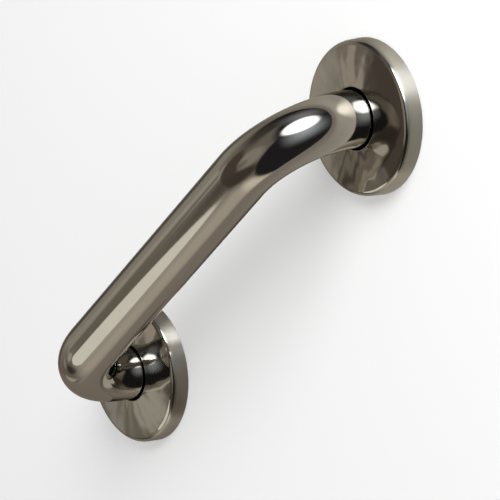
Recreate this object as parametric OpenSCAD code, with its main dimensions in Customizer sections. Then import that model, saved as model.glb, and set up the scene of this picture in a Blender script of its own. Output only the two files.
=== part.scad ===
// Grab rail: one bent round tube welded to two base flanges.
// Each leg of the tube passes through a press-on cover that hides three fixing screws.
// The wall is the plane z = 0, the rail runs along X and stands out along +Z.
// The origin is on the wall, midway between the two legs.

/* [Rail tube] */
// Outside diameter of the tube
tube_d = 32; // [26:0.5:36]
// Wall thickness of the tube
tube_wall = 1.5; // [1:0.1:3]
// Distance between the centrelines of the two legs
leg_spacing = 278; // [200:1:900]
// Height of the bar's centreline above the wall
rail_height = 62; // [60:1:90]
// Centreline radius of each bend
bend_r = 46; // [36:1:48]

/* [Base flanges] */
// Thickness of each base flange
flange_t = 3; // [2.7:0.1:4]
// Rounding of the flange's outer front edge
flange_edge_r = 0.8; // [0.3:0.1:1.2]
// Radial gap between the tube and the flange's bore
tube_fit = 0.1; // [0.05:0.05:0.2]
// Leg length of the weld round the tube
weld_leg = 3; // [2:0.5:4]

/* [Cover plates] */
// Diameter of the cover at the wall
cover_d = 86; // [82:0.5:110]
// How much smaller the cover's radius is at its face than at the wall
cover_taper = 0.5; // [0.2:0.1:1.5]
// Height of the cover's rim, where the skirt and the crowned face would meet
cover_rim_h = 10.5; // [9:0.5:12]
// How far the crowned face rises from the rim to the hole
crown_rise = 2.3; // [0.8:0.1:3]
// Sheet thickness of the cover
cover_t = 1; // [0.7:0.1:1.5]
// Outside radius of the edge between the skirt and the face
rim_r = 3.4; // [2:0.1:4]
// Radial gap between the tube and the cover's hole
hole_gap = 1.2; // [1:0.1:2.5]
// Rounding of the hole's front edge
hole_edge_r = 0.5; // [0.2:0.1:0.6]
// Radial gap between the flange's edge and the cover's skirt
cover_fit = 0.3; // [0.3:0.05:0.8]

/* [Fixing screws] */
// Number of screws in each flange
screw_count = 3; // [3:1:4]
// Diameter of the circle that the screws lie on
screw_circle_d = 60; // [57:0.5:66]
// Outside diameter of the screw's thread
screw_d = 4.8; // [4:0.1:5.4]
// Length of the screw, from the top of its head to its point
screw_length = 25; // [16:1:40]
// Diameter of the countersunk head
head_d = 9.2; // [8.5:0.1:9.8]
// Height of the straight land round the top of the head
head_land = 0.3; // [0.2:0.1:0.4]
// Depth of the head's top below the flange's front
head_sink = 0.1; // [0.05:0.05:0.15]
// How much thicker the screw's neck is than its thread, on the radius
neck_step = 0.3; // [0.2:0.05:0.4]
// Radial gap between the screw's neck and its hole
neck_fit = 0.25; // [0.15:0.05:0.5]
// Radial gap between the head and its countersink
seat_fit = 0.1; // [0.05:0.05:0.2]
// Width of the arms of the cross recess
recess_arm = 1; // [0.8:0.1:1.2]
// Width across the cross recess at the top
recess_span = 4.8; // [4:0.1:5.2]
// Depth of the cross recess
recess_depth = 1.6; // [1.2:0.1:1.8]

/* [Hidden] */
$fn = 96;

LEFT = -1;
RIGHT = 1;
over = 1;                  // how far a cutter runs past what it cuts
edge_steps = 6;            // chords along a small rounding
crown_steps = 10;          // chords along the crowned face

mirror_steel = [0.62, 0.60, 0.56];
satin_steel = [0.70, 0.69, 0.66];
weld_steel = [0.55, 0.53, 0.50];
screw_steel = [0.66, 0.66, 0.65];

// Tube
tube_r = tube_d / 2;
bore_r = tube_r - tube_wall;
leg_x = leg_spacing / 2;
leg_top = rail_height - bend_r;
bend_x = leg_x - bend_r;

// Cover: the skirt leans in by taper_angle, and the crown is part of a sphere
// through the rim and the hole's edge
skirt_r = cover_d / 2;
face_r = skirt_r - cover_taper;
hole_r = tube_r + hole_gap;
taper_angle = atan(cover_taper / cover_rim_h);
skirt_up = [-sin(taper_angle), cos(taper_angle)];
skirt_out = [cos(taper_angle), sin(taper_angle)];
crown_drop = (pow(face_r, 2) - pow(hole_r, 2)) / (2 * crown_rise) - crown_rise / 2;
crown_centre = [0, cover_rim_h - crown_drop];
crown_r = norm([face_r, crown_drop]);

// Centre of the rim's rounding: rim_r inside the skirt and inside the crown
rim_start = [skirt_r, 0] - rim_r * skirt_out;
rim_offset = rim_start - crown_centre;
rim_along = rim_offset * skirt_up;
rim_reach = pow(crown_r - rim_r, 2) - rim_offset * rim_offset + pow(rim_along, 2);
rim_centre = rim_start + (sqrt(rim_reach) - rim_along) * skirt_up;
rim_direction = rim_centre - crown_centre;
rim_angle = atan2(rim_direction[1], rim_direction[0]);

// Flange: its edge fills the cover's skirt at the height of the flange's front
skirt_inner_r = skirt_r - cover_t / cos(taper_angle);
flange_r = skirt_inner_r - flange_t * tan(taper_angle) - cover_fit;
flange_bore_r = tube_r + tube_fit;

// Screw: the head's 90 degree cone ends at the neck
screw_r = screw_d / 2;
neck_r = screw_r + neck_step;
neck_hole_r = neck_r + neck_fit;
head_r = head_d / 2;
head_top = flange_t - head_sink;
cone_top = head_top - head_land;
cone_bottom = cone_top - (head_r - neck_r);
screw_tip = head_top - screw_length;
tip_length = screw_d;
tip_r = 0.2;
screw_circle_r = screw_circle_d / 2;
screw_step = 360 / screw_count;

// Points along an arc, from one angle to another
function arc(centre, radius, from, to, steps) = [
    for (i = [0 : steps])
        let (angle = from + (to - from) * i / steps)
        centre + radius * [cos(angle), sin(angle)]
];

// Angle, seen from the crown's centre, at which the crown inset by depth reaches radius r
function crown_angle(r, depth) = acos(r / (crown_r - depth));

// The cover's surface inset by depth, from the wall up the skirt and over the crown to radius r
function cover_surface(depth, r) = concat(
    [[skirt_r - depth / cos(taper_angle), 0]],
    arc(rim_centre, rim_r - depth, taper_angle, rim_angle, edge_steps),
    arc(crown_centre, crown_r - depth, rim_angle, crown_angle(r, depth), crown_steps)
);

function reversed(list) = [for (i = [len(list) - 1 : -1 : 0]) list[i]];

// Puts a fitting on the foot of the left or the right leg, its own +X facing outboard
module at_leg(side) {
    translate([side * leg_x, 0, 0])
        rotate([0, 0, side == LEFT ? 180 : 0])
            children();
}

module at_screws() {
    for (i = [0 : screw_count - 1])
        rotate([0, 0, i * screw_step])
            translate([screw_circle_r, 0, 0])
                children();
}

// One leg and its bend, solid to the given radius, on the right
module bent_leg(radius, below) {
    translate([leg_x, 0, -below])
        cylinder(h = leg_top + below, r = radius);
    translate([bend_x, 0, leg_top])
        rotate([90, 0, 0])
            rotate_extrude(angle = 90)
                translate([bend_r, 0])
                    circle(r = radius);
}

// The whole run of the tube, solid to the given radius
module tube_run(radius, below) {
    bent_leg(radius, below);
    mirror([1, 0, 0])
        bent_leg(radius, below);
    translate([-bend_x, 0, rail_height])
        rotate([0, 90, 0])
            cylinder(h = 2 * bend_x, r = radius);
}

module rail_tube() {
    color(mirror_steel)
        difference() {
            tube_run(tube_r, 0);
            tube_run(bore_r, over);
        }
}

// Disc with a bored centre, a rounded front edge and countersunk holes
module base_flange() {
    edge_centre = [flange_r - flange_edge_r, flange_t - flange_edge_r];
    color(satin_steel)
        difference() {
            rotate_extrude()
                polygon(concat(
                    [[flange_bore_r, 0], [flange_r, 0]],
                    arc(edge_centre, flange_edge_r, 0, 90, edge_steps),
                    [[flange_bore_r, flange_t]]
                ));
            at_screws()
                screw_hole();
        }
}

// Clearance hole with a 90 degree countersink that stays parallel to the screw's head
module screw_hole() {
    seat_r = head_r + seat_fit + flange_t + over - cone_top;
    translate([0, 0, -over])
        cylinder(h = flange_t + 2 * over, r = neck_hole_r);
    translate([0, 0, flange_t + over - seat_r])
        cylinder(h = seat_r, r1 = 0, r2 = seat_r);
}

// Fillet weld with a slightly hollow face, between the tube and the flange's front
module weld() {
    hollow_centre = [flange_bore_r, flange_t] + 2 * weld_leg * [1, 1];
    hollow_r = weld_leg * norm([1, 2]);
    toe_angle = atan2(-2, -1) + 360;
    color(weld_steel)
        rotate_extrude()
            polygon(concat(
                [[flange_bore_r, flange_t]],
                arc(hollow_centre, hollow_r, toe_angle, 450 - toe_angle, edge_steps)
            ));
}

// Pressed sheet cup: tapered skirt, rolled rim, crowned face and a hole with a rounded edge
module cover_plate() {
    hole_edge_centre = [
        hole_r + hole_edge_r,
        crown_centre[1] + sqrt(pow(crown_r - hole_edge_r, 2) - pow(hole_r + hole_edge_r, 2))
    ];
    hole_edge_angle = atan2(hole_edge_centre[1] - crown_centre[1], hole_edge_centre[0]);
    face_end_r = crown_r * cos(hole_edge_angle);
    color(mirror_steel)
        rotate_extrude()
            polygon(concat(
                cover_surface(0, face_end_r),
                arc(hole_edge_centre, hole_edge_r, hole_edge_angle, 180, edge_steps),
                reversed(cover_surface(cover_t, hole_r))
            ));
}

// Countersunk wood screw: land, cone, neck, threaded shank and point, with a cross recess
module fixing_screw() {
    difference() {
        union() {
            translate([0, 0, cone_top])
                cylinder(h = head_land, r = head_r);
            translate([0, 0, cone_bottom])
                cylinder(h = cone_top - cone_bottom, r1 = neck_r, r2 = head_r);
            cylinder(h = cone_bottom, r = neck_r);
            translate([0, 0, screw_tip + tip_length])
                cylinder(h = -screw_tip - tip_length, r = screw_r);
            translate([0, 0, screw_tip])
                cylinder(h = tip_length, r1 = tip_r, r2 = screw_r);
        }
        cross_recess();
    }
}

// Two crossed slots that narrow with depth
module cross_recess() {
    recess_bottom = head_top - recess_depth;
    intersection() {
        translate([0, 0, recess_bottom])
            cylinder(h = recess_depth + over, r1 = recess_arm, r2 = recess_span / 2 + over);
        for (turn = [0, 90])
            rotate([0, 0, turn])
                translate([-recess_span / 2, -recess_arm / 2, recess_bottom])
                    cube([recess_span, recess_arm, recess_depth + over]);
    }
}

module fixing_screws() {
    color(screw_steel)
        at_screws()
            fixing_screw();
}

rail_tube();
at_leg(LEFT) base_flange();  // left_base_flange
at_leg(RIGHT) base_flange();  // right_base_flange
at_leg(LEFT) weld();  // left_weld
at_leg(RIGHT) weld();  // right_weld
at_leg(LEFT) cover_plate();  // left_cover_plate
at_leg(RIGHT) cover_plate();  // right_cover_plate
at_leg(LEFT) fixing_screws();  // left_fixing_screws
at_leg(RIGHT) fixing_screws();  // right_fixing_screws
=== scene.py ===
"""Grab rail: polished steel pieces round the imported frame, lit by a small studio."""

import math

import bmesh
import bpy
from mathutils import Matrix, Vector


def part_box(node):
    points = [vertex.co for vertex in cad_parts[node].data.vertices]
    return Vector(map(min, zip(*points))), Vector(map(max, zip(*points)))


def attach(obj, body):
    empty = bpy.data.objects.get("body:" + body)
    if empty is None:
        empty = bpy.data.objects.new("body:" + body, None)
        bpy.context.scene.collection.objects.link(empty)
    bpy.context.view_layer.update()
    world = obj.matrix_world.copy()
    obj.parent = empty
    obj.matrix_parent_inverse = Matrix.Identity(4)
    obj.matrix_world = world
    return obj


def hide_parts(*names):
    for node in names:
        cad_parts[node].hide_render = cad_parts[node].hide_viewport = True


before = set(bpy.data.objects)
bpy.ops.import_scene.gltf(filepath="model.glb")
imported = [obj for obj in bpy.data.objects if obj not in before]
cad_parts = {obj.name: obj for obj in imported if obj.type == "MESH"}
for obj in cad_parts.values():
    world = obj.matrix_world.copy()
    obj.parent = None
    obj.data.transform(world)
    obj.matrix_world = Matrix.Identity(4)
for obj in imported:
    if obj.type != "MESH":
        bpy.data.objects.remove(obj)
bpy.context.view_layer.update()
scene = bpy.context.scene

# ---------------------------------------------------------------- sizes, in metres

MM = 0.001
SIDES = {"left": -1, "right": 1}

# The legs, and the covers round them, stand at x = -LEG_X and LEG_X.
cover_low, cover_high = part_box("right_cover_plate")
LEG_X = (cover_low.x + cover_high.x) / 2
SKIRT_R = (cover_high.x - cover_low.x) / 2

# The tube.
tube_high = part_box("rail_tube")[1]
TUBE_R = tube_high.x - LEG_X
TUBE_WALL = 1.5 * MM
BORE_R = TUBE_R - TUBE_WALL
RAIL_Z = tube_high.z - TUBE_R
BEND_R = 46 * MM
BEND_X = LEG_X - BEND_R
BEND_Z = RAIL_Z - BEND_R

# The pressed covers.
TAPER = 0.5 * MM
RIM_H = 10.5 * MM
CROWN_RISE = 2.3 * MM
SHEET_T = 1 * MM
RIM_R = 3.4 * MM
HOLE_GAP = 1.2 * MM
HOLE_R = TUBE_R + HOLE_GAP
HOLE_EDGE_R = 0.5 * MM

# The flanges and their welds.
FLANGE_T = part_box("right_base_flange")[1].z
WELD_LEG = 3 * MM
WELD_FIT = 0.1 * MM
WELD_R = TUBE_R + WELD_FIT

# The screws.
screw_low, screw_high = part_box("right_fixing_screws")
SCREW_TOP = screw_high.z
SCREW_TIP = screw_low.z
SCREW_R = 2.4 * MM
SCREW_CIRCLE_R = 30 * MM
SCREWS = 3
HEAD_R = 4.6 * MM
HEAD_LAND = 0.3 * MM
HEAD_CHAMFER = 0.1 * MM
NECK_R = 2.7 * MM
NECK_END = -0.3 * MM
RECESS_R = 2.4 * MM
RECESS_ARM = 0.5 * MM
RECESS_DEPTH = 1.6 * MM
THREAD_PITCH = 1.8 * MM
THREAD_DEPTH = 0.75 * MM
POINT_LENGTH = 2 * SCREW_R
SCREW_MAP_STEP = 0.2 * MM

# ---------------------------------------------------------------- counts, shares and angles

TUBE_SEGMENTS = 256
BEND_STEPS = 80

COVER_SEGMENTS = 256
SKIRT_STEPS = 8
RIM_STEPS = 24
CROWN_STEPS = 40
HOLE_EDGE_STEPS = 10
INNER_RIM_STEPS = 8
INNER_CROWN_STEPS = 16
SATIN_RIM_ROWS = 9

WELD_SEGMENTS = 360
WELD_STEPS = 10
WELD_RIPPLES = 60
RIPPLE_LAG = 0.9  # of a ripple, from the middle of the bead to its edges
RIPPLE_DEPTH = 0.10  # of the weld's leg
WELD_HOLLOW = 0.16  # of the weld's leg
WELD_DIAGONAL = 0.7  # share of the bulge that goes out, and that goes up

SCREW_SEGMENTS = 64
HEAD_RINGS = 40
THREAD_STEPS = 12  # in a turn
THREAD_HALF_WIDTH = 0.32  # of a turn
THREAD_RUN_OUT = 1.5  # turns below the flange's back
TIP_SHARE = 0.15  # of the shank's radius, left at the tip
RECESS_SLOPE = 0.45  # of the recess's radius
FIRST_SCREW_TURN = 0.4  # radians
NEXT_SCREW_TURN = 1.1

ROUND_EDGE = 40  # degrees between faces, above which an edge is sharp
WELD_EDGE = 50
SCREW_EDGE = 35

# ---------------------------------------------------------------- mesh helpers


def arc(centre, radius, start, end, steps):
    """Points along an arc in the (r, z) plane, angles in degrees."""
    points = []
    for i in range(steps + 1):
        angle = math.radians(start + (end - start) * i / steps)
        points.append((centre[0] + radius * math.cos(angle), centre[1] + radius * math.sin(angle)))
    return points


def ring_angles(segments):
    """The angles of a ring's points, in radians."""
    return [2 * math.pi * j / segments for j in range(segments)]


def round_axis(x, y, r, angle, z):
    """A point at a radius and an angle round the vertical line through (x, y)."""
    return (x + r * math.cos(angle), y + r * math.sin(angle), z)


def new_piece(name, vertices, faces, materials):
    """An object with one mesh, in the scene."""
    mesh = bpy.data.meshes.new(name)
    mesh.from_pydata(vertices, [], faces)
    for material in materials:
        mesh.materials.append(material)
    piece = bpy.data.objects.new(name, mesh)
    scene.collection.objects.link(piece)
    return piece


def mesh_from_grid(name, rows, uv, materials, wrap_rows=True, material_of_row=None):
    """A smooth piece from rows of points. Each row is a closed ring, uv(row, column) gives its
    map in metres, and with wrap_rows the last row joins the first."""
    count = len(rows[0])
    vertices = [point for row in rows for point in row]
    faces = []
    maps = []
    slots = []
    for i in range(len(rows) if wrap_rows else len(rows) - 1):
        below = i * count
        above = (i + 1) % len(rows) * count
        for j in range(count):
            k = (j + 1) % count
            faces.append((below + j, below + k, above + k, above + j))
            maps.append((uv(i, j), uv(i, j + 1), uv(i + 1, j + 1), uv(i + 1, j)))
            slots.append(material_of_row(i) if material_of_row else 0)
    piece = new_piece(name, vertices, faces, materials)
    layer = piece.data.uv_layers.new(name="length")
    for polygon, corners, slot in zip(piece.data.polygons, maps, slots):
        polygon.material_index = slot
        polygon.use_smooth = True
        for loop, corner in zip(polygon.loop_indices, corners):
            layer.data[loop].uv = corner
    return piece


def sharpen(piece, degrees):
    """Keeps edges sharper than the given angle crisp."""
    piece.data.set_sharp_from_angle(angle=math.radians(degrees))


def close_end(piece, first, count):
    """Fills the ring of vertices that starts at first with one face, and turns all outwards."""
    work = bmesh.new()
    work.from_mesh(piece.data)
    work.verts.ensure_lookup_table()
    work.faces.new([work.verts[first + j] for j in range(count)])
    bmesh.ops.recalc_face_normals(work, faces=work.faces)
    work.to_mesh(piece.data)
    work.free()


# ---------------------------------------------------------------- node helpers

NOISE_LOW, NOISE_HIGH = 0.3, 0.7  # the span that nearly all of a noise lies in
FOLD_GROWTH = (0, 0, 5)  # noise units in a metre along X, in the third part of round_leg
FOLD_START = (0, 0, 0.556)


class Nodes:
    """A material's node tree, with short calls for what the materials below use."""

    def __init__(self, name):
        self.material = bpy.data.materials.new(name)
        self.material.use_nodes = True
        self.tree = self.material.node_tree
        self.shader = self.tree.nodes["Principled BSDF"]

    def new(self, kind, **settings):
        """A node of a kind, with its settings."""
        node = self.tree.nodes.new(kind)
        for key, value in settings.items():
            setattr(node, key, value)
        return node

    def link(self, source, target):
        """A wire from an output to an input."""
        self.tree.links.new(source, target)

    def calculate(self, operation, *values):
        """The result of a Math node on outputs of other nodes and plain numbers."""
        node = self.new("ShaderNodeMath", operation=operation)
        for socket, value in zip(node.inputs, values):
            if isinstance(value, float):
                socket.default_value = value
            else:
                self.link(value, socket)
        return node.outputs[0]

    def split(self, source):
        """The X, Y and Z of a texture coordinate."""
        parts = self.new("ShaderNodeSeparateXYZ")
        self.link(self.new("ShaderNodeTexCoord").outputs[source], parts.inputs["Vector"])
        return parts.outputs

    def surface(self, result):
        """Makes a shader the one that the material shows."""
        self.link(result, self.tree.nodes["Material Output"].inputs["Surface"])

    def coordinates(self, source, scale=(1, 1, 1)):
        """The chosen texture coordinate, stretched by scale."""
        place = self.new("ShaderNodeTexCoord")
        stretch = self.new("ShaderNodeMapping")
        stretch.inputs["Scale"].default_value = scale
        self.link(place.outputs[source], stretch.inputs["Vector"])
        return stretch.outputs["Vector"]

    def round_leg(self):
        """The direction from the nearer leg, so that a texture keeps its value along a radius.
        Its third part grows along X, so that the two covers are not alike."""
        place = self.split("Object")
        flat = self.new("ShaderNodeCombineXYZ")
        offset = self.calculate("SUBTRACT", self.calculate("ABSOLUTE", place["X"]), LEG_X)
        self.link(offset, flat.inputs["X"])
        self.link(place["Y"], flat.inputs["Y"])
        turn = self.new("ShaderNodeVectorMath", operation="NORMALIZE")
        self.link(flat.outputs["Vector"], turn.inputs[0])
        shift = self.new("ShaderNodeCombineXYZ")
        self.link(place["X"], shift.inputs["Z"])
        both = self.new("ShaderNodeVectorMath", operation="MULTIPLY_ADD")
        both.inputs[1].default_value = FOLD_GROWTH
        self.link(shift.outputs["Vector"], both.inputs[0])
        self.link(turn.outputs["Vector"], both.inputs[2])
        start = self.new("ShaderNodeVectorMath", operation="ADD")
        start.inputs[1].default_value = FOLD_START
        self.link(both.outputs["Vector"], start.inputs[0])
        return start.outputs["Vector"]

    def noise(self, vector, scale, detail, roughness=0.5):
        """Noise over a vector."""
        node = self.new("ShaderNodeTexNoise")
        node.inputs["Scale"].default_value = scale
        node.inputs["Detail"].default_value = detail
        node.inputs["Roughness"].default_value = roughness
        self.link(vector, node.inputs["Vector"])
        return node.outputs["Fac"]

    def spread(self, value, low, high):
        """Maps the span of a noise to low..high."""
        node = self.new("ShaderNodeMapRange")
        node.inputs["From Min"].default_value = NOISE_LOW
        node.inputs["From Max"].default_value = NOISE_HIGH
        node.inputs["To Min"].default_value = low
        node.inputs["To Max"].default_value = high
        self.link(value, node.inputs["Value"])
        return node.outputs["Result"]

    def between(self, value, dark, light):
        """A colour from dark to light by value."""
        node = self.new("ShaderNodeMix", data_type="RGBA")
        node.inputs["A"].default_value = (*dark, 1)
        node.inputs["B"].default_value = (*light, 1)
        self.link(value, node.inputs["Factor"])
        return node.outputs["Result"]

    def bump(self, height, distance, normal=None):
        """Relief of a height in metres, on top of another relief if one is given."""
        node = self.new("ShaderNodeBump")
        node.inputs["Strength"].default_value = 1.0
        node.inputs["Distance"].default_value = distance
        self.link(height, node.inputs["Height"])
        if normal is not None:
            self.link(normal, node.inputs["Normal"])
        return node.outputs["Normal"]


# ---------------------------------------------------------------- materials

STEEL_DARK = (0.57, 0.55, 0.515)
STEEL_LIGHT = (0.63, 0.61, 0.575)
SATIN_DARK = (0.62, 0.60, 0.56)
SATIN_LIGHT = (0.70, 0.68, 0.64)
FLANGE_DARK = (0.42, 0.40, 0.37)
FLANGE_LIGHT = (0.50, 0.48, 0.45)
WELD_STRAW = (0.30, 0.24, 0.16)
WELD_BLUE = (0.42, 0.42, 0.44)
SCREW_DARK = (0.40, 0.39, 0.37)
SCREW_LIGHT = (0.50, 0.49, 0.47)
STEEL_TINT = (0.72, 0.70, 0.68, 1)

# How the lines of a finish are stretched: few along a line, many across it.
TUBE_LINES = (40, 4000, 1)
COVER_LINES = (20, 5000, 1)
SATIN_LINES = (30, 6000, 1)
FLANGE_LINES = (60, 2500, 2500)

QUARTER_TURN = 0.25

# Heights of the reliefs, for a texture that goes from 0 to 1.
TUBE_WAVE_DEPTH = 0.02 * MM
LINE_DEPTH = 0.0012 * MM
SPECK_DEPTH = 0.0004 * MM
PRESS_WAVE_DEPTH = 0.3 * MM
PRESS_FOLD_DEPTH = 0.5 * MM
SATIN_DEPTH = 0.004 * MM
FLANGE_DEPTH = 0.006 * MM
WELD_DEPTH = 0.02 * MM
SCREW_DEPTH = 0.01 * MM


def steel(name, dark, light):
    """Bare stainless steel whose colour changes slowly from place to place, and that noise."""
    made = Nodes(name)
    made.shader.inputs["Metallic"].default_value = 1.0
    made.shader.inputs["Specular Tint"].default_value = STEEL_TINT
    slow = made.noise(made.coordinates("Object"), scale=38, detail=3)
    made.link(made.between(slow, dark, light), made.shader.inputs["Base Color"])
    return made, slow


def finish(made, texture, roughness, relief):
    """Gives a material a roughness between two values by a texture, and its relief."""
    made.link(made.spread(texture, *roughness), made.shader.inputs["Roughness"])
    made.link(relief, made.shader.inputs["Normal"])
    return made.material


def mirror_tube():
    """Mirror polish with hair-fine lines along the tube."""
    made, slow = steel("tube_mirror_steel", STEEL_DARK, STEEL_LIGHT)
    lines = made.noise(made.coordinates("UV", TUBE_LINES), scale=1, detail=6, roughness=0.6)
    specks = made.noise(made.coordinates("Object"), scale=900, detail=2)
    fine = made.bump(lines, LINE_DEPTH, made.bump(slow, TUBE_WAVE_DEPTH))
    relief = made.bump(specks, SPECK_DEPTH, fine)
    return finish(made, lines, roughness=(0.05, 0.10), relief=relief)


def mirror_cover():
    """Mirror polish on pressed sheet: faint waves and folds from the press, fine round lines."""
    made = steel("cover_mirror_steel", STEEL_DARK, STEEL_LIGHT)[0]
    lines = made.noise(made.coordinates("UV", COVER_LINES), scale=1, detail=6, roughness=0.6)
    waves = made.noise(made.coordinates("Object"), scale=55, detail=2)
    folds = made.noise(made.round_leg(), scale=2.4, detail=1)
    wavy = made.bump(folds, PRESS_FOLD_DEPTH, made.bump(waves, PRESS_WAVE_DEPTH))
    relief = made.bump(lines, LINE_DEPTH, wavy)
    return finish(made, lines, roughness=(0.05, 0.11), relief=relief)


def satin_skirt():
    """Satin steel with lines brushed round the axis, which spread a highlight up and down."""
    made = steel("cover_satin_steel", SATIN_DARK, SATIN_LIGHT)[0]
    lines = made.noise(made.coordinates("UV", SATIN_LINES), scale=1, detail=8, roughness=0.65)
    made.shader.inputs["Anisotropic"].default_value = 1.0
    made.shader.inputs["Anisotropic Rotation"].default_value = QUARTER_TURN
    along = made.new("ShaderNodeTangent", direction_type="UV_MAP", uv_map="length")
    made.link(along.outputs["Tangent"], made.shader.inputs["Tangent"])
    return finish(made, lines, roughness=(0.32, 0.44), relief=made.bump(lines, SATIN_DEPTH))


def satin_flange():
    """The flange's brushed face, which shows when a cover is lifted."""
    made = steel("flange_satin_steel", FLANGE_DARK, FLANGE_LIGHT)[0]
    grain = made.noise(made.coordinates("Object", FLANGE_LINES), scale=1, detail=6, roughness=0.6)
    return finish(made, grain, roughness=(0.24, 0.40), relief=made.bump(grain, FLANGE_DEPTH))


def weld_metal():
    """Weld with a straw to blue heat tint in patches."""
    made = steel("weld_steel", WELD_STRAW, WELD_BLUE)[0]
    grain = made.noise(made.coordinates("Object"), scale=1500, detail=4)
    return finish(made, grain, roughness=(0.18, 0.38), relief=made.bump(grain, WELD_DEPTH))


def screw_metal():
    """Rolled stainless screw, slightly dull."""
    made = steel("screw_steel", SCREW_DARK, SCREW_LIGHT)[0]
    grain = made.noise(made.coordinates("Object"), scale=2200, detail=4)
    return finish(made, grain, roughness=(0.18, 0.30), relief=made.bump(grain, SCREW_DEPTH))


# ---------------------------------------------------------------- pieces


def tube_path():
    """Stations along the centreline: (point, direction, distance from the left end)."""
    stations = [(Vector((-LEG_X, 0, 0)), Vector((0, 0, 1)))]
    for side in SIDES.values():
        for i in range(BEND_STEPS + 1):
            turn = math.pi / 2 * i / BEND_STEPS
            angle = turn if side < 0 else math.pi / 2 - turn
            across, up = math.cos(angle), math.sin(angle)
            point = Vector((side * (BEND_X + BEND_R * across), 0, BEND_Z + BEND_R * up))
            stations.append((point, Vector((up, 0, -side * across))))
    stations.append((Vector((LEG_X, 0, 0)), Vector((0, 0, -1))))
    placed = []
    run = 0.0
    for i, (point, heading) in enumerate(stations):
        if i:
            run += (point - stations[i - 1][0]).length
        placed.append((point, heading, run))
    return placed


def make_tube(material):
    """The bent tube with its bore, closed by the ring at each end."""
    path = tube_path()
    across = Vector((0, 1, 0))
    rows = []
    runs = []
    for radius, stations in ((TUBE_R, path), (BORE_R, path[::-1])):
        for point, heading, run in stations:
            side = heading.cross(across)
            rows.append([
                point + radius * (math.cos(angle) * side + math.sin(angle) * across)
                for angle in ring_angles(TUBE_SEGMENTS)
            ])
            runs.append(run)
    runs.append(runs[0])

    def uv(i, j):
        return (runs[i], 2 * math.pi * TUBE_R * j / TUBE_SEGMENTS)

    piece = mesh_from_grid("rail_tube_polished", rows, uv, [material])
    sharpen(piece, ROUND_EDGE)
    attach(piece, "rail")
    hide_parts("rail_tube")


def cover_shape():
    """Where the cover's crown and rim are centred, as in the solids."""
    face_r = SKIRT_R - TAPER
    lean = math.degrees(math.atan(TAPER / RIM_H))
    drop = (face_r ** 2 - HOLE_R ** 2) / (2 * CROWN_RISE) - CROWN_RISE / 2
    crown_centre = (0.0, RIM_H - drop)
    crown_r = math.hypot(face_r, drop)
    out = Vector((math.cos(math.radians(lean)), math.sin(math.radians(lean))))
    up = Vector((-out.y, out.x))
    start = Vector((SKIRT_R, 0)) - RIM_R * out
    offset = start - Vector(crown_centre)
    along = offset.dot(up)
    reach = (crown_r - RIM_R) ** 2 - offset.length_squared + along ** 2
    rim_centre = start + (math.sqrt(reach) - along) * up
    to_rim = rim_centre - Vector(crown_centre)
    rim_angle = math.degrees(math.atan2(to_rim.y, to_rim.x))
    return lean, crown_centre, crown_r, rim_centre, rim_angle


def cover_profile():
    """The cover's outline in (r, z), and how many of its rows are satin."""
    lean, crown_centre, crown_r, rim_centre, rim_angle = cover_shape()
    edge_height = math.sqrt((crown_r - HOLE_EDGE_R) ** 2 - (HOLE_R + HOLE_EDGE_R) ** 2)
    edge_centre = (HOLE_R + HOLE_EDGE_R, crown_centre[1] + edge_height)
    edge_angle = math.degrees(math.atan2(edge_height, edge_centre[0]))
    inner_angle = math.degrees(math.acos(HOLE_R / (crown_r - SHEET_T)))
    inner_foot = (SKIRT_R - SHEET_T / math.cos(math.radians(lean)), 0.0)
    rim = arc(rim_centre, RIM_R, lean, rim_angle, RIM_STEPS)
    skirt = [
        (SKIRT_R + (rim[0][0] - SKIRT_R) * i / SKIRT_STEPS, rim[0][1] * i / SKIRT_STEPS)
        for i in range(SKIRT_STEPS)
    ]
    inner = arc(rim_centre, RIM_R - SHEET_T, lean, rim_angle, INNER_RIM_STEPS)
    inner += arc(crown_centre, crown_r - SHEET_T, rim_angle, inner_angle, INNER_CROWN_STEPS)[1:]
    outline = skirt + rim
    outline += arc(crown_centre, crown_r, rim_angle, edge_angle, CROWN_STEPS)[1:]
    outline += arc(edge_centre, HOLE_EDGE_R, edge_angle, 180, HOLE_EDGE_STEPS)[1:]
    outline += inner[::-1] + [inner_foot]
    return outline, len(skirt) + SATIN_RIM_ROWS


def make_cover(name, side, face, skirt):
    """A pressed cover: satin skirt, mirror-polished rim and crowned face."""
    outline, satin_rows = cover_profile()
    rows = [
        [round_axis(side * LEG_X, 0.0, r, angle, z) for angle in ring_angles(COVER_SEGMENTS)]
        for r, z in outline
    ]
    lengths = [0.0]
    for i, point in enumerate(outline):
        lengths.append(lengths[-1] + math.dist(point, outline[(i + 1) % len(outline)]))
    mean_r = sum(r for r, z in outline) / len(outline)

    def uv(i, j):
        return (2 * math.pi * mean_r * j / COVER_SEGMENTS, lengths[i])

    def slot_of_row(i):
        return 1 if i < satin_rows else 0

    piece = mesh_from_grid(
        f"{name}_cover_polished", rows, uv, [face, skirt], material_of_row=slot_of_row
    )
    sharpen(piece, ROUND_EDGE)
    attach(piece, f"{name}_cover")
    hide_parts(f"{name}_cover_plate")


def weld_point(x, share, angle):
    """A point on the bead, share 0 at its foot on the flange and 1 at its top on the tube."""
    phase = (WELD_RIPPLES * angle / (2 * math.pi) + RIPPLE_LAG * abs(share - 0.5)) % 1
    swell = math.sin(math.pi * share)
    bulge = swell * (RIPPLE_DEPTH * (1 - phase) ** 2 - WELD_HOLLOW) * WELD_LEG * WELD_DIAGONAL
    reach = max(WELD_LEG * (1 - share) + bulge, 0.0)
    height = max(WELD_LEG * share + bulge, 0.0)
    return round_axis(x, 0.0, WELD_R + reach, angle, FLANGE_T + height)


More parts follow.
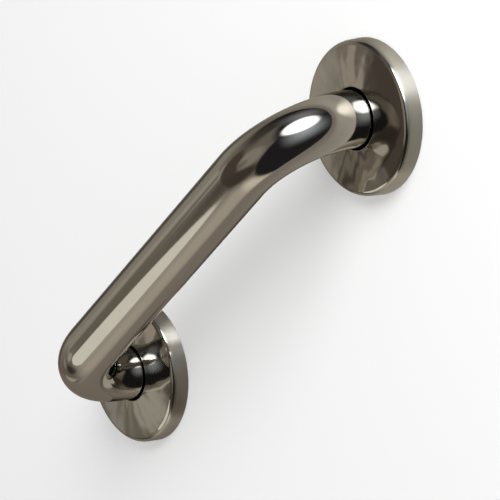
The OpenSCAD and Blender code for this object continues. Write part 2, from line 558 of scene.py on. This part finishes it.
def make_weld(name, side, material):
    """A fillet weld laid in overlapping ripples round the tube."""
    x = side * LEG_X
    angles = ring_angles(WELD_SEGMENTS)
    rows = [
        [weld_point(x, i / WELD_STEPS, angle) for angle in angles] for i in range(WELD_STEPS + 1)
    ]
    rows.append([round_axis(x, 0.0, WELD_R, angle, FLANGE_T) for angle in angles])

    def uv(i, j):
        return (2 * math.pi * WELD_R * j / WELD_SEGMENTS, WELD_LEG * i / WELD_STEPS)

    piece = mesh_from_grid(f"{name}_weld_bead", rows, uv, [material])
    sharpen(piece, WELD_EDGE)
    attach(piece, "rail")
    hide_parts(f"{name}_weld")


def thread_radius(z, angle):
    """The screw's radius at a height and an angle: a sharp crest on a core, run out at both
    ends, with a point."""
    turns = (z / THREAD_PITCH - angle / (2 * math.pi)) % 1
    crest = max(0.0, 1 - abs(turns - 0.5) / THREAD_HALF_WIDTH)
    run_out = max(0.0, min(1.0, -z / (THREAD_RUN_OUT * THREAD_PITCH)))
    share = TIP_SHARE + (1 - TIP_SHARE) * min(1.0, (z - SCREW_TIP) / POINT_LENGTH)
    return (SCREW_R - THREAD_DEPTH) * share + THREAD_DEPTH * crest * run_out * share


def recess_depth_at(r, angle):
    """How deep the cross recess is at a point of the head's top."""
    x, y = abs(r * math.cos(angle)), abs(r * math.sin(angle))
    along, across = max(x, y), min(x, y)
    if along > RECESS_R or across > RECESS_ARM:
        return 0.0
    return RECESS_DEPTH * min(1.0, (RECESS_R - along) / (RECESS_SLOPE * RECESS_R))


def screw_rows():
    """The rings of a screw from the middle of its head to its tip, as (radius, angle, height)."""
    angles = ring_angles(SCREW_SEGMENTS)
    rows = []
    for i in range(1, HEAD_RINGS + 1):
        r = (HEAD_R - HEAD_CHAMFER) * i / HEAD_RINGS
        rows.append([(r, angle, SCREW_TOP - recess_depth_at(r, angle)) for angle in angles])
    cone_top = SCREW_TOP - HEAD_LAND
    outline = [
        (HEAD_R, SCREW_TOP - HEAD_CHAMFER),
        (HEAD_R, cone_top),
        (NECK_R, cone_top - (HEAD_R - NECK_R)),
        (NECK_R, 0.0),
        (SCREW_R - THREAD_DEPTH, NECK_END),
    ]
    for r, z in outline:
        rows.append([(r, angle, z) for angle in angles])
    steps = round(-SCREW_TIP / THREAD_PITCH * THREAD_STEPS)
    for i in range(2, steps):
        z = SCREW_TIP * i / steps
        rows.append([(thread_radius(z, angle), angle, z) for angle in angles])
    return rows


def make_screw(name, x, y, turn, material):
    """A countersunk self-tapping screw with a cross recess and a rolled thread."""
    rows = [
        [round_axis(x, y, r, angle + turn, z) for r, angle, z in row] for row in screw_rows()
    ]

    def uv(i, j):
        return (2 * math.pi * HEAD_R * j / SCREW_SEGMENTS, i * SCREW_MAP_STEP)

    piece = mesh_from_grid(name, rows, uv, [material], wrap_rows=False)
    close_end(piece, 0, SCREW_SEGMENTS)
    close_end(piece, (len(rows) - 1) * SCREW_SEGMENTS, SCREW_SEGMENTS)
    sharpen(piece, SCREW_EDGE)
    return piece


def make_screws(name, side, material):
    """The three screws of one flange, the first of them outboard."""
    screws = []
    for i in range(SCREWS):
        angle = 2 * math.pi * i / SCREWS + (math.pi if side < 0 else 0.0)
        x = side * LEG_X + SCREW_CIRCLE_R * math.cos(angle)
        y = SCREW_CIRCLE_R * math.sin(angle)
        turn = FIRST_SCREW_TURN + NEXT_SCREW_TURN * i
        screws.append(make_screw(f"{name}_screw_{i + 1}", x, y, turn, material))
    for screw in screws:
        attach(screw, "rail")
    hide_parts(f"{name}_fixing_screws")


# ---------------------------------------------------------------- studio

CENTRE = Vector((0.0, 0.0, 0.03))
LEFT_COVER = Vector((-LEG_X, 0.0, RIM_H))

FLOOR_HALF = 6.0
FLOOR_COLOUR = (0.80, 0.80, 0.80, 1)
FLOOR_LIFT = 0.22
WORLD_COLOUR = (1, 1, 1, 1)
WORLD_SEEN = 1.0
WORLD_LIGHT = 0.38
LAMP_DISTANCE = 1.9

CAMERA_PLACE = (1.4917, -0.7179, 1.2406)
CAMERA_TURN = (-12.412, 52.166, -41.255)  # degrees
CAMERA_LENS = 261.56  # millimetres
CAMERA_SENSOR = 36  # millimetres
CAMERA_REACH = 50

CARD_COLUMNS, CARD_LINES = 48, 24
LOWEST, HIGHEST = -1.0, 90.0  # degrees of elevation

# A card ends at |u|^n + |v|^n = 1 over its half sizes. n is its squareness, 2 for an ellipse.
ELLIPSE = 2.0

# The curved cards are painted reflections: glowing sheets that only the steel shows, in place of a
# room with its light and shade.
# Curved cards: name, azimuth and elevation of the middle, half sizes in degrees, colour,
# squareness, share that fades, distance in metres, and the point that the card stands round.
# A card hides those that stand farther off.
CARDS = (
    # Painted reflections of a room: walls, ceiling and shelves, and dark sheets for the dark side
    # round the soft box.
    ("room", (0, 45), (190, 50), (0.182, 0.160, 0.130), 40.0, 0.02, 2.30, CENTRE),
    ("ceiling", (0, 88), (190, 24), (0.308, 0.274, 0.223), 40.0, 0.5, 2.28, CENTRE),
    ("brown_left", (-135, 57), (66, 20), (0.063, 0.052, 0.042), ELLIPSE, 0.5, 2.26, CENTRE),
    ("brown_right", (150, 60), (64, 16.6), (0.084, 0.067, 0.053), 4.0, 0.3, 2.26, CENTRE),
    ("shelf_light", (142, 40.5), (18, 3.2), (0.42, 0.36, 0.297), 4.0, 0.5, 2.25, CENTRE),
    ("shelf_low", (148, 27), (24, 5), (0.364, 0.32, 0.272), ELLIPSE, 0.8, 2.25, CENTRE),
    ("grey_right", (130, 12), (44, 34), (0.34, 0.312, 0.262), ELLIPSE, 0.9, 2.245, CENTRE),
    ("pale_right", (142, 26), (9, 18), (0.42, 0.39, 0.33), ELLIPSE, 1.0, 2.24, CENTRE),
    ("cream_wall", (-134, 12), (34, 34), (0.50, 0.45, 0.37), ELLIPSE, 0.8, 2.24, CENTRE),
    ("cream_edge", (-118, 14), (14, 30), (0.80, 0.73, 0.60), 3.0, 0.9, 2.22, CENTRE),
    ("dark_left", (-45, 10), (66, 58), (0.019, 0.018, 0.019), 2.6, 0.06, 2.20, CENTRE),
    ("dark_right", (5, -6), (72, 70), (0.017, 0.0165, 0.017), ELLIPSE, 0.2, 2.19, CENTRE),
    ("dark_far_right", (76, 18), (24, 31), (0.018, 0.017, 0.016), ELLIPSE, 0.5, 2.18, CENTRE),
    ("dusk_right", (80, 36), (30, 34), (0.06, 0.054, 0.046), ELLIPSE, 0.9, 2.175, CENTRE),
    # The soft box as a painted highlight in a painted glow round it: the key lamp itself is hidden
    # from the steel.
    ("halo", (-14, 26), (50, 30), (0.50, 0.545, 0.58), ELLIPSE, 1.0, 2.17, CENTRE),
    ("halo_right", (42, 16), (38, 22), (0.26, 0.26, 0.27), ELLIPSE, 1.0, 2.16, CENTRE),
    ("softbox", (12, 29), (29, 22), (6.0, 6.2, 6.4), ELLIPSE, 0.6, 2.14, CENTRE),
    # Near cards: a painted reflection of a strip of light along the bar, and painted pale
    # reflections on the left cover.
    ("near_glow", (-153, 31), (26, 17), (0.45, 0.42, 0.36), ELLIPSE, 1.0, 0.56, CENTRE),
    ("near_light", (-163, 38), (22, 11), (0.88, 0.84, 0.74), ELLIPSE, 0.08, 0.55, CENTRE),
    ("left_pale", (166, 41), (13, 9), (0.42, 0.39, 0.33), ELLIPSE, 0.6, 0.45, LEFT_COVER),
    ("left_low_pale", (164, 24), (13, 4), (0.33, 0.31, 0.27), ELLIPSE, 0.6, 0.45, LEFT_COVER),
    # Low cards, a painted dark and a painted light reflection, which the left bend shows.
    ("low_dark", (-174, 19), (18, 8), (0.05, 0.045, 0.037), ELLIPSE, 0.6, 2.235, CENTRE),
    ("low_light", (-174, 4), (16, 4), (0.50, 0.47, 0.41), ELLIPSE, 0.6, 2.232, CENTRE),
)

# Cards on the floor: name, middle (x, y) and half sizes in metres, colour, squareness, share
# that fades, height above the floor in millimetres, and turn in degrees.
# The floor cards paint what the steel sees of the floor, in place of the evenly white floor: a
# brown tone, painted pools of light and painted shade.
FLOOR_CARDS = (
    ("floor_tone", (0, 0), (2.2, 2.2), (0.27, 0.236, 0.198), ELLIPSE, 0.1, 0.1, 0),
    # Painted shade on the floor beyond the left half of the bar, seen only in the steel.
    ("floor_dark", (-0.45, 0.42), (0.55, 0.36), (0.10, 0.092, 0.08), 4.0, 0.5, 0.15, 0),
    ("floor_grey", (0.30, 0.05), (0.42, 0.40), (0.50, 0.475, 0.41), ELLIPSE, 1.0, 0.2, 0),
    ("floor_cover", (LEG_X + 0.02, 0.01), (0.11, 0.11), (0.47, 0.44, 0.37), ELLIPSE, 0.5, 0.25, 0),
    ("floor_cover_top", (LEG_X + 0.045, 0.065), (0.06, 0.055), (0.40, 0.38, 0.32),
     ELLIPSE, 0.8, 0.3, 0),
    ("floor_tan", (-0.75, -0.75), (0.62, 0.60), (0.46, 0.41, 0.34), ELLIPSE, 0.9, 0.12, 0),
    # Painted shadow of the rail under the bar, seen only in the steel.
    ("floor_shade", (0.0, -0.012), (0.13, 0.03), (0.12, 0.10, 0.085), ELLIPSE, 0.9, 0.3, 0),
    # Painted shade at the foot of the left cover, seen only in the steel.
    ("floor_left_foot_shade", (0.014 - LEG_X, -0.052), (0.048, 0.018), (0.14, 0.12, 0.10),
     ELLIPSE, 0.8, 0.32, 0),
    # Painted pool of light by the left cover, brighter than the floor, seen only in the steel.
    ("floor_cover_left_light", (0.055 - LEG_X, 0.002), (0.022, 0.016), (1.3, 1.25, 1.12),
     ELLIPSE, 0.8, 0.4, 0),
    # Painted pool of light to the right of the rail, brighter than the floor, seen only in the
    # steel.
    ("floor_right_light", (0.262, 0.025), (0.13, 0.062), (1.5, 1.42, 1.25), ELLIPSE, 0.75, 0.4, 10),
)


def direction(azimuth, elevation):
    """The unit vector at an azimuth from +X and an elevation from the floor, in degrees."""
    a, e = math.radians(azimuth), math.radians(elevation)
    return Vector((math.cos(e) * math.cos(a), math.cos(e) * math.sin(a), math.sin(e)))


def glow(name, colour, squareness, soft):
    """A card's material: its front glows inside a rounded outline and fades out towards it.
    soft is the share that fades."""
    made = Nodes(name)
    place = made.split("UV")
    powers = [
        made.calculate("POWER", made.calculate("ABSOLUTE", place[axis]), squareness)
        for axis in ("X", "Y")
    ]
    fade = made.new("ShaderNodeMapRange", interpolation_type="SMOOTHSTEP")
    fade.inputs["From Min"].default_value = 1.0
    fade.inputs["From Max"].default_value = 1.0 - soft
    reach = made.calculate("POWER", made.calculate("ADD", *powers), 1 / squareness)
    made.link(reach, fade.inputs["Value"])
    back = made.new("ShaderNodeNewGeometry").outputs["Backfacing"]
    front = made.calculate("SUBTRACT", 1.0, back)
    light = made.new("ShaderNodeEmission")
    light.inputs["Color"].default_value = (*colour, 1)
    clear = made.new("ShaderNodeBsdfTransparent")
    mix = made.new("ShaderNodeMixShader")
    shown = made.calculate("MULTIPLY", fade.outputs["Result"], front)
    made.link(shown, mix.inputs["Fac"])
    made.link(clear.outputs[0], mix.inputs[1])
    made.link(light.outputs[0], mix.inputs[2])
    made.surface(mix.outputs[0])
    made.tree.nodes.remove(made.shader)
    return made.material


def glossy_card(name, grid, material):
    """A glowing sheet through a grid of points, mapped over u, v = -1..1.
    Only the steel shows it: the camera looks past it, and it throws no light and no shadow."""
    lines, columns = len(grid) - 1, len(grid[0]) - 1
    vertices = [point for row in grid for point in row]
    maps = [
        (2 * j / columns - 1, 2 * i / lines - 1)
        for i in range(lines + 1) for j in range(columns + 1)
    ]
    faces = []
    for i in range(lines):
        for j in range(columns):
            k = i * (columns + 1) + j
            faces.append((k, k + 1, k + columns + 2, k + columns + 1))
    piece = new_piece(name, vertices, faces, [material])
    layer = piece.data.uv_layers.new(name="card")
    for loop in piece.data.loops:
        layer.data[loop.index].uv = maps[loop.vertex_index]
    piece.visible_camera = False
    piece.visible_diffuse = False
    piece.visible_shadow = False
    piece.visible_transmission = False


def curved_grid(centre, half, distance, middle):
    """Points of a curved card round a middle point, placed by azimuth and elevation."""
    grid = []
    for i in range(CARD_LINES + 1):
        elevation = centre[1] + half[1] * (2 * i / CARD_LINES - 1)
        elevation = min(HIGHEST, max(LOWEST, elevation))
        row = []
        for j in range(CARD_COLUMNS + 1):
            azimuth = centre[0] - half[0] * (2 * j / CARD_COLUMNS - 1)
            row.append(middle + distance * direction(azimuth, elevation))
        grid.append(row)
    return grid


def flat_grid(centre, half, height, turn):
    """The four corners of a card that lies on the floor."""
    along = direction(turn, 0)
    across = direction(turn + 90, 0)
    middle = Vector((*centre, height))
    return [
        [middle + i * half[1] * across + j * half[0] * along for j in (-1, 1)] for i in (-1, 1)
    ]


def make_cards():
    """Painted reflections that only the steel shows: a dim room with a soft box of light, and a
    floor with a painted tone, painted light and painted shade.
    """
    for name, centre, half, colour, squareness, soft, distance, middle in CARDS:
        grid = curved_grid(centre, half, distance, middle)
        glossy_card(name, grid, glow(name, colour, squareness, soft))
    for name, centre, half, colour, squareness, soft, height, turn in FLOOR_CARDS:
        grid = flat_grid(centre, half, height * MM, turn)
        glossy_card(name, grid, glow(name, colour, squareness, soft))


def seen_rays(tree):
    """1 for camera, glossy and transmission rays, 0 for the rest."""
    path = tree.nodes.new("ShaderNodeLightPath")
    total = path.outputs["Is Camera Ray"]
    for kind in ("Is Glossy Ray", "Is Transmission Ray"):
        larger = tree.nodes.new("ShaderNodeMath")
        larger.operation = "MAXIMUM"
        tree.links.new(total, larger.inputs[0])
        tree.links.new(path.outputs[kind], larger.inputs[1])
        total = larger.outputs[0]
    return total


def make_floor():
    """The pale wall that the rail is fixed to, lying flat. It keeps the rail's shadow."""
    made = Nodes("floor")
    made.shader.inputs["Base Color"].default_value = FLOOR_COLOUR
    made.shader.inputs["Roughness"].default_value = 1.0
    made.shader.inputs["Specular IOR Level"].default_value = 0.0
    lift = made.new("ShaderNodeEmission")
    strength = made.calculate("MULTIPLY", seen_rays(made.tree), FLOOR_LIFT)
    made.link(strength, lift.inputs["Strength"])
    add = made.new("ShaderNodeAddShader")
    made.link(made.shader.outputs[0], add.inputs[0])
    made.link(lift.outputs[0], add.inputs[1])
    made.surface(add.outputs[0])
    low, high = -FLOOR_HALF, FLOOR_HALF
    corners = [(low, low, 0), (high, low, 0), (high, high, 0), (low, high, 0)]
    floor = new_piece("floor", corners, [(0, 1, 2, 3)], [made.material])


def make_world():
    """A white room for what the camera and the steel see, and a plain level for what it lights."""
    world = bpy.data.worlds.new("studio")
    scene.world = world
    world.use_nodes = True
    tree = world.node_tree
    background = tree.nodes["Background"]
    background.inputs["Color"].default_value = WORLD_COLOUR
    level = tree.nodes.new("ShaderNodeMapRange")
    level.inputs["To Min"].default_value = WORLD_LIGHT
    level.inputs["To Max"].default_value = WORLD_SEEN
    tree.links.new(seen_rays(tree), level.inputs["Value"])
    tree.links.new(level.outputs["Result"], background.inputs["Strength"])


def lamp(name, azimuth, elevation, width, radiance):
    """A round soft lamp that faces the object. Its energy is worked out from its radiance, and
    the steel shows a card in its place."""
    data = bpy.data.lights.new(name, "AREA")
    data.shape = "DISK"
    data.size = width
    data.energy = radiance * math.pi * math.pi * width ** 2 / 4
    way = direction(azimuth, elevation)
    piece = bpy.data.objects.new(name, data)
    piece.location = CENTRE + LAMP_DISTANCE * way
    piece.rotation_mode = "QUATERNION"
    piece.rotation_quaternion = way.to_track_quat("Z", "Y")
    piece.visible_glossy = False
    scene.collection.objects.link(piece)


def make_lights():
    """The key light from the right, with a broad fill from above."""
    lamp("key_softbox", azimuth=12, elevation=29, width=1.25, radiance=8.0)
    lamp("top_softbox", azimuth=-150, elevation=80, width=1.1, radiance=1.8)


def make_camera():
    """The photograph's view: from above and the right, far off, rolled so that +Z points left."""
    data = bpy.data.cameras.new("camera")
    data.sensor_width = CAMERA_SENSOR
    data.lens = CAMERA_LENS
    data.clip_end = CAMERA_REACH
    camera = bpy.data.objects.new("camera", data)
    camera.location = CAMERA_PLACE
    camera.rotation_euler = [math.radians(x) for x in CAMERA_TURN]
    scene.collection.objects.link(camera)
    scene.camera = camera


# ---------------------------------------------------------------- build

make_camera()
make_tube(mirror_tube())
cover_face = mirror_cover()
cover_skirt = satin_skirt()
weld_material = weld_metal()
screw_material = screw_metal()
flange_material = satin_flange()
for side_name, side_sign in SIDES.items():
    make_cover(side_name, side_sign, cover_face, cover_skirt)
    make_weld(side_name, side_sign, weld_material)
    make_screws(side_name, side_sign, screw_material)
    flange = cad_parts[f"{side_name}_base_flange"]
    flange.data.materials.clear()
    flange.data.materials.append(flange_material)

make_floor()
make_world()
make_cards()
make_lights()

scene.view_settings.view_transform = "Standard"
